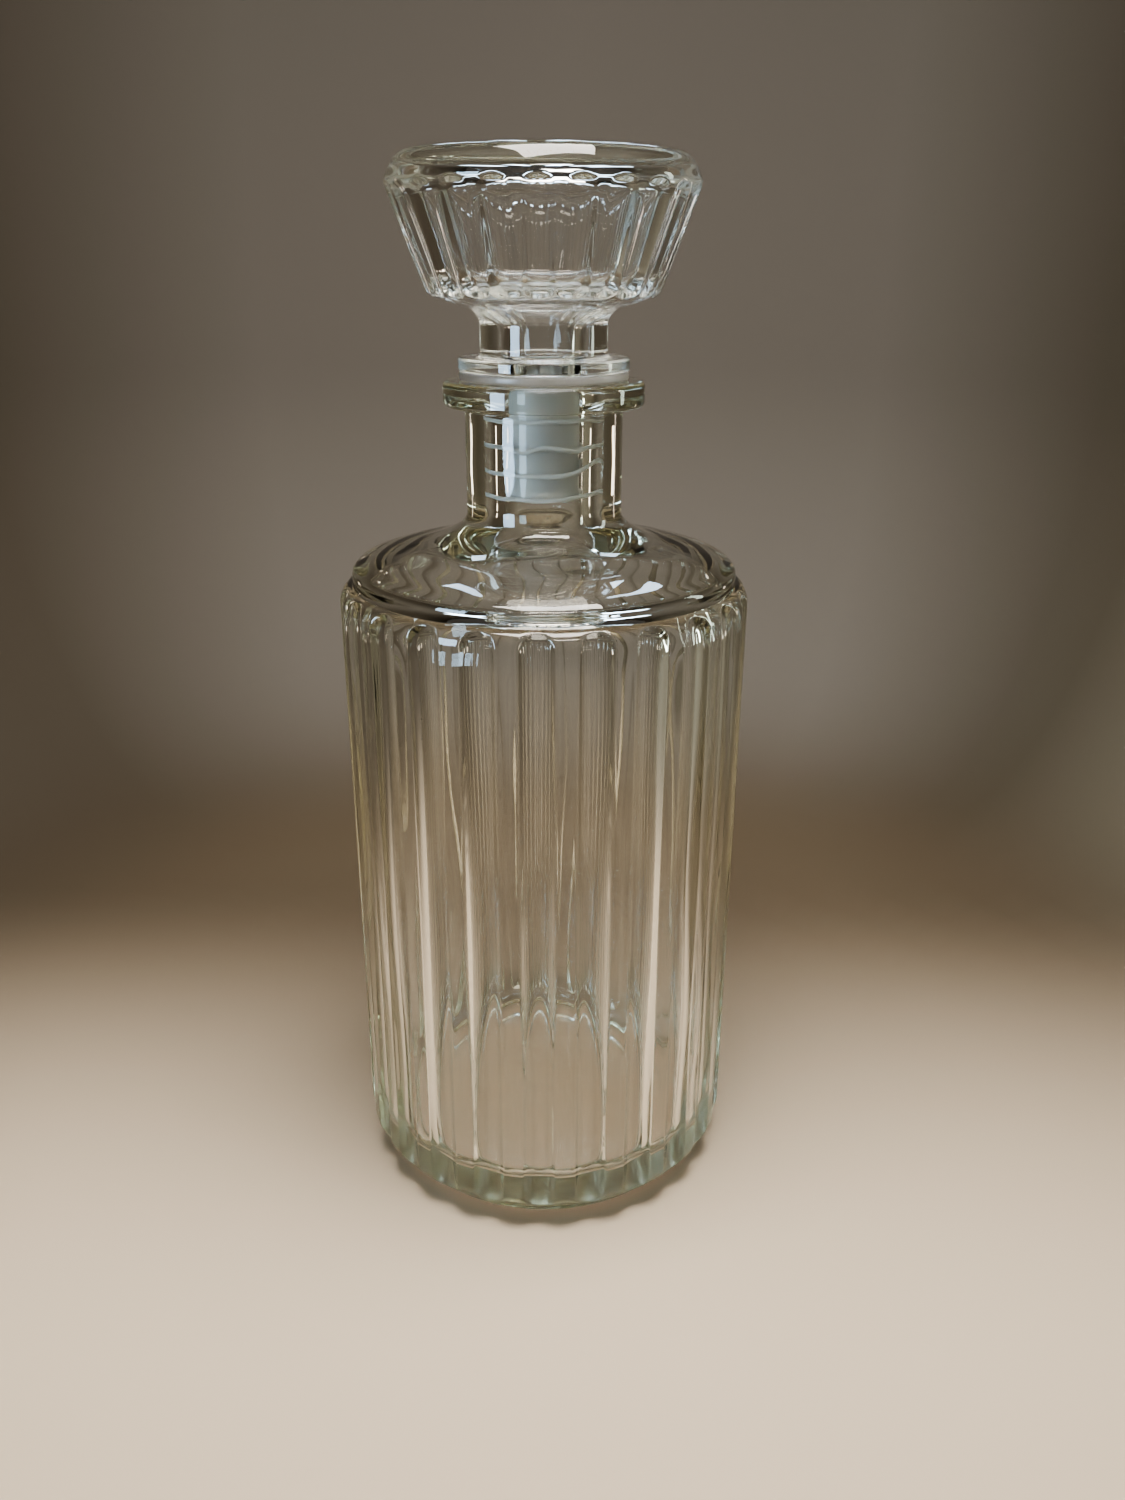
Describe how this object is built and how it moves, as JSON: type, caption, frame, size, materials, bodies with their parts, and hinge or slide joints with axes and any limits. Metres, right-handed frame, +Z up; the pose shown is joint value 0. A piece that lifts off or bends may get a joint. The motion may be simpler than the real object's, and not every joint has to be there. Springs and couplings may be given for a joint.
{
  "type": "decanter",
  "caption": "Tall round ribbed glass decanter with a smooth sloping shoulder, straight neck, hollow faceted glass stopper and translucent plastic seal.",
  "frame": {"origin": "centre of the foot, on the plane that the decanter stands on", "axes": "+Z up along the axis of the bottle, neck and stopper; front towards -Y; +X to the right seen from the front; a flute faces the front"},
  "size_m": [0.0956, 0.0956, 0.2439],
  "materials": {
    "body_glass": "clear fire-polished glass, faintly green-grey where it is thick",
    "stopper_glass": "clear fire-polished glass",
    "seal_plastic": "translucent milky polyethylene"
  },
  "bodies": {
    "bottle": {"decanter_body": "body_glass"},
    "seal": {"stopper_seal": "seal_plastic"},
    "stopper": {"glass_stopper": "stopper_glass"}
  },
  "joints": [
    {"name": "stopper_lift", "type": "slide", "parent": "bottle", "child": "seal", "axis": [0, 0, 1], "range_m": [0, 0.07]},
    {"name": "stopper_turn", "type": "hinge", "parent": "seal", "child": "stopper", "pos_m": [0, 0, 0.2], "axis": [0, 0, 1], "continuous": true}
  ]
}
